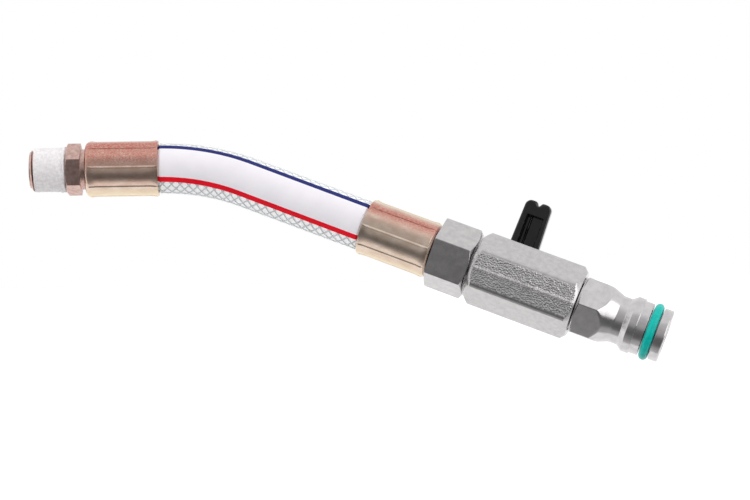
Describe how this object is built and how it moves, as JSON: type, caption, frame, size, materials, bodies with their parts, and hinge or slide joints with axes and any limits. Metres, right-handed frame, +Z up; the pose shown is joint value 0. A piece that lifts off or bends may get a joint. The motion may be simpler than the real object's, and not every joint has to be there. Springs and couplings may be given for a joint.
{
  "type": "hydraulic hose assembly",
  "caption": "Short clear braided hose with crimped steel ends: a taped male pipe thread, and a swivel nut with a small ball valve, its lever and a push-in plug with an O-ring.",
  "frame": {"origin": "the centre of the port thread's shoulder, where the fitting's hexagon meets the port", "axes": "+X out of the port along the crimped fitting, +Z up, +Y away from the side that shows in the picture"},
  "size_m": [0.192, 0.0512, 0.0691],
  "materials": {
    "zinc_steel": "dull zinc plate with a brownish passivation",
    "sealing_tape": "wrinkled thread-sealing tape",
    "yellow_zinc": "yellow zinc plate, glossy",
    "clear_pvc": "clear, slightly milky, smooth",
    "yarn": "polyester yarn in a diamond net",
    "white_pvc": "opaque, smooth",
    "blue_pvc": "opaque, smooth",
    "red_pvc": "opaque, smooth",
    "plain_steel": "bright zinc",
    "black_rubber": "matt",
    "plated_nut": "satin nickel plate over turned brass",
    "forged_plated_brass": "nickel plate over a grit-blasted forging, turned ends brighter",
    "ptfe": "waxy",
    "polished_ball": "mirror polish",
    "bare_brass": "turned",
    "black_nylon": "moulded, glossy",
    "plated_plug": "nickel plate over turned steel",
    "teal_rubber": "smooth, moist"
  },
  "bodies": {
    "machine_end": {"port_fitting": "zinc_steel", "thread_tape": "sealing_tape", "port_ferrule": "yellow_zinc", "hose_liner": "clear_pvc", "hose_braid": "yarn", "hose_cover": "clear_pvc", "hose_white_band": "white_pvc", "hose_blue_stripe": "blue_pvc", "hose_red_stripe": "red_pvc"},
    "valve_end": {"valve_ferrule": "yellow_zinc", "valve_tail": "zinc_steel", "nut_retaining_wire": "plain_steel", "tail_seal": "black_rubber", "valve_body": "forged_plated_brass", "valve_insert": "plated_nut", "hose_side_seat": "ptfe", "plug_side_seat": "ptfe", "stem_washer": "ptfe", "plug": "plated_plug", "plug_o_ring": "teal_rubber"},
    "nut": {"swivel_nut": "plated_nut"},
    "handle": {"lever": "black_nylon", "lever_screw": "plain_steel", "valve_stem": "bare_brass", "stem_o_rings": "black_rubber", "valve_ball": "polished_ball"}
  },
  "joints": [
    {"name": "hose_flex", "type": "hinge", "parent": "machine_end", "child": "valve_end", "pos_m": [0.06065, -0.00457, -0.00696], "axis": [0, 0.8358, -0.549], "range_deg": [-25, 30], "stiffness_Nm_per_rad": 0.44, "springref_deg": -11.5, "deforming": ["hose_liner", "hose_braid", "hose_cover", "hose_white_band", "hose_blue_stripe", "hose_red_stripe"]},
    {"name": "nut_spin", "type": "hinge", "parent": "valve_end", "child": "nut", "pos_m": [0.11721, -0.01925, -0.0293], "axis": [0.9041, -0.2346, -0.3572], "continuous": true},
    {"name": "valve_lever", "type": "hinge", "parent": "valve_end", "child": "handle", "pos_m": [0.13258, -0.02324, -0.03537], "axis": [0.2346, 0.9711, -0.044], "range_deg": [0, 90]}
  ]
}
